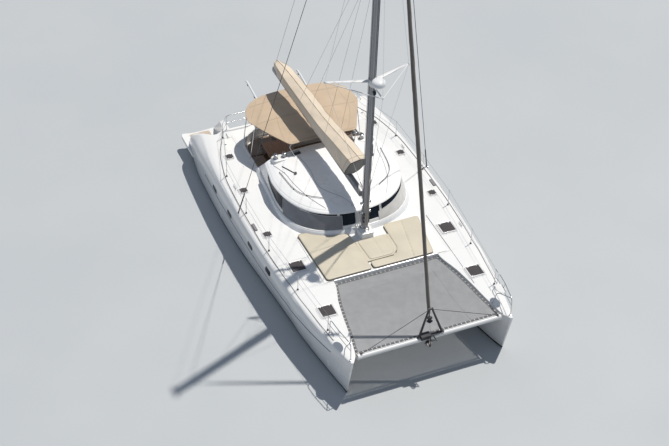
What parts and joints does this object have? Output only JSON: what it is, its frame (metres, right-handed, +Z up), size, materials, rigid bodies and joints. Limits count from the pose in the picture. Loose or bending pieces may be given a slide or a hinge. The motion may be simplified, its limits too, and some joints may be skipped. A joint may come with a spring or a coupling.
{
  "type": "sailing catamaran",
  "caption": "Sailing catamaran afloat with its sails stowed: twin hulls, bridgedeck cabin, canopied cockpit, net foredeck, mast and boom.",
  "frame": {"origin": "on the centreline amidships, at the waterline", "axes": "+X to the bows, +Y to port, +Z up"},
  "size_m": [14.0706, 7.26, 21.93],
  "materials": {
    "gelcoat": "white gelcoat, glossy on the topsides and satin on deck",
    "glass": "dark tinted glass",
    "canopy_fabric": "tan canvas, matte",
    "cover_fabric": "light warm grey screen fabric, matte",
    "cushion": "cream beige vinyl cushion with seams",
    "stainless": "polished stainless steel",
    "spar": "dark slate paint, satin",
    "sailcloth": "taupe sun strip, matte, rolled in a spiral",
    "striker": "dark paint, satin",
    "net": "grey woven netting",
    "teak": "teak, oiled",
    "hatch_acrylic": "smoked acrylic, glossy",
    "engine_paint": "dark grey paint",
    "bronze": "bronze, satin",
    "antifouling": "black antifouling paint, matte"
  },
  "bodies": {
    "boat": {"aft_bulkhead": "gelcoat", "bimini": "canopy_fabric", "bimini_frame": "stainless", "bridgedeck": "gelcoat", "bulkhead_window": "glass", "cabin_roof": "gelcoat", "cabin_wall": "gelcoat", "cockpit_seat": "gelcoat", "cockpit_table": "teak", "crossbeam": "gelcoat", "davits": "stainless", "engine_port": "engine_paint", "engine_starboard": "engine_paint", "furled_genoa": "sailcloth", "guardrail_port": "stainless", "guardrail_starboard": "stainless", "helm_console": "gelcoat", "helm_seat": "gelcoat", "hull_port": "gelcoat", "hull_starboard": "gelcoat", "mast": "spar", "pulpit_port": "stainless", "pulpit_starboard": "stainless", "radar": "gelcoat", "shroud_port": "stainless", "shroud_starboard": "stainless", "spreaders": "spar", "stern_rail_port": "stainless", "stern_rail_starboard": "stainless", "striker": "striker", "sun_pad_centre": "cushion", "sun_pad_port": "cushion", "sun_pad_starboard": "cushion", "trampoline": "net", "winches_port": "stainless", "winches_starboard": "stainless", "window_cover_port": "cover_fabric", "window_cover_starboard": "cover_fabric", "window_port": "glass", "window_starboard": "glass"},
    "boom": {"boom": "spar", "sail_bag": "canopy_fabric"},
    "door": {"saloon_door": "gelcoat"},
    "wheel": {"helm_wheel": "stainless"},
    "propeller_starboard": {"propeller_starboard": "bronze"},
    "rudder_starboard": {"rudder_starboard": "antifouling"},
    "engine_lid_starboard": {"engine_lid_starboard": "gelcoat"},
    "hatch_1_starboard": {"hatch_1_starboard": "hatch_acrylic"},
    "hatch_2_starboard": {"hatch_2_starboard": "hatch_acrylic"},
    "hatch_3_starboard": {"hatch_3_starboard": "hatch_acrylic"},
    "hatch_4_starboard": {"hatch_4_starboard": "hatch_acrylic"},
    "hatch_5_starboard": {"hatch_5_starboard": "hatch_acrylic"},
    "propeller_port": {"propeller_port": "bronze"},
    "rudder_port": {"rudder_port": "antifouling"},
    "engine_lid_port": {"engine_lid_port": "gelcoat"},
    "hatch_1_port": {"hatch_1_port": "hatch_acrylic"},
    "hatch_2_port": {"hatch_2_port": "hatch_acrylic"},
    "hatch_3_port": {"hatch_3_port": "hatch_acrylic"},
    "hatch_4_port": {"hatch_4_port": "hatch_acrylic"},
    "hatch_5_port": {"hatch_5_port": "hatch_acrylic"}
  },
  "joints": [
    {"name": "boom_swing", "type": "hinge", "parent": "boat", "child": "boom", "pos_m": [1.385, 0, 3.14], "axis": [0, 0, 1], "range_deg": [-53.5, 46.5]},
    {"name": "door_slide", "type": "slide", "parent": "boat", "child": "door", "axis": [0, -1, 0], "range_m": [0, 0.84]},
    {"name": "wheel_turn", "type": "hinge", "parent": "boat", "child": "wheel", "pos_m": [-2.9, 1.66, 1.9], "axis": [1, 0, 0], "range_deg": [-360, 360]},
    {"name": "propeller_starboard_spin", "type": "hinge", "parent": "boat", "child": "propeller_starboard", "pos_m": [-4.91, -2.88, -0.86], "axis": [1, 0, 0], "continuous": true},
    {"name": "rudder_starboard_turn", "type": "hinge", "parent": "boat", "child": "rudder_starboard", "pos_m": [-5.65, -2.89, -0.4], "axis": [0, 0, 1], "range_deg": [-35, 35]},
    {"name": "engine_lid_starboard_open", "type": "hinge", "parent": "boat", "child": "engine_lid_starboard", "pos_m": [-4.6, -2.296, 1.676], "axis": [-1, 0, 0], "range_deg": [0, 80]},
    {"name": "hatch_1_starboard_open", "type": "hinge", "parent": "boat", "child": "hatch_1_starboard", "pos_m": [-3.73, -2.78, 1.71], "axis": [0, 1, 0], "range_deg": [0, 95]},
    {"name": "hatch_2_starboard_open", "type": "hinge", "parent": "boat", "child": "hatch_2_starboard", "pos_m": [-1.79, -2.98, 1.71], "axis": [0, 1, 0], "range_deg": [0, 95]},
    {"name": "hatch_3_starboard_open", "type": "hinge", "parent": "boat", "child": "hatch_3_starboard", "pos_m": [0.65, -3.05, 1.71], "axis": [0, 1, 0], "range_deg": [0, 95]},
    {"name": "hatch_4_starboard_open", "type": "hinge", "parent": "boat", "child": "hatch_4_starboard", "pos_m": [2.62, -2.72, 1.71], "axis": [0, 1, 0], "range_deg": [0, 95]},
    {"name": "hatch_5_starboard_open", "type": "hinge", "parent": "boat", "child": "hatch_5_starboard", "pos_m": [4.91, -2.62, 1.71], "axis": [0, 1, 0], "range_deg": [0, 95]},
    {"name": "propeller_port_spin", "type": "hinge", "parent": "boat", "child": "propeller_port", "pos_m": [-4.91, 2.88, -0.86], "axis": [1, 0, 0], "continuous": true},
    {"name": "rudder_port_turn", "type": "hinge", "parent": "boat", "child": "rudder_port", "pos_m": [-5.65, 2.89, -0.4], "axis": [0, 0, 1], "range_deg": [-35, 35]},
    {"name": "engine_lid_port_open", "type": "hinge", "parent": "boat", "child": "engine_lid_port", "pos_m": [-4.6, 2.296, 1.676], "axis": [1, 0, 0], "range_deg": [0, 80]},
    {"name": "hatch_1_port_open", "type": "hinge", "parent": "boat", "child": "hatch_1_port", "pos_m": [-3.73, 2.78, 1.71], "axis": [0, 1, 0], "range_deg": [0, 95]},
    {"name": "hatch_2_port_open", "type": "hinge", "parent": "boat", "child": "hatch_2_port", "pos_m": [-1.79, 2.98, 1.71], "axis": [0, 1, 0], "range_deg": [0, 95]},
    {"name": "hatch_3_port_open", "type": "hinge", "parent": "boat", "child": "hatch_3_port", "pos_m": [0.65, 3.05, 1.71], "axis": [0, 1, 0], "range_deg": [0, 95]},
    {"name": "hatch_4_port_open", "type": "hinge", "parent": "boat", "child": "hatch_4_port", "pos_m": [2.62, 2.72, 1.71], "axis": [0, 1, 0], "range_deg": [0, 95]},
    {"name": "hatch_5_port_open", "type": "hinge", "parent": "boat", "child": "hatch_5_port", "pos_m": [4.91, 2.62, 1.71], "axis": [0, 1, 0], "range_deg": [0, 95]}
  ],
  "couplings": [
    {"joint": "rudder_port_turn", "follows": "rudder_starboard_turn", "ratio": 1},
    {"joint": "wheel_turn", "follows": "rudder_starboard_turn", "ratio": 10.286}
  ]
}
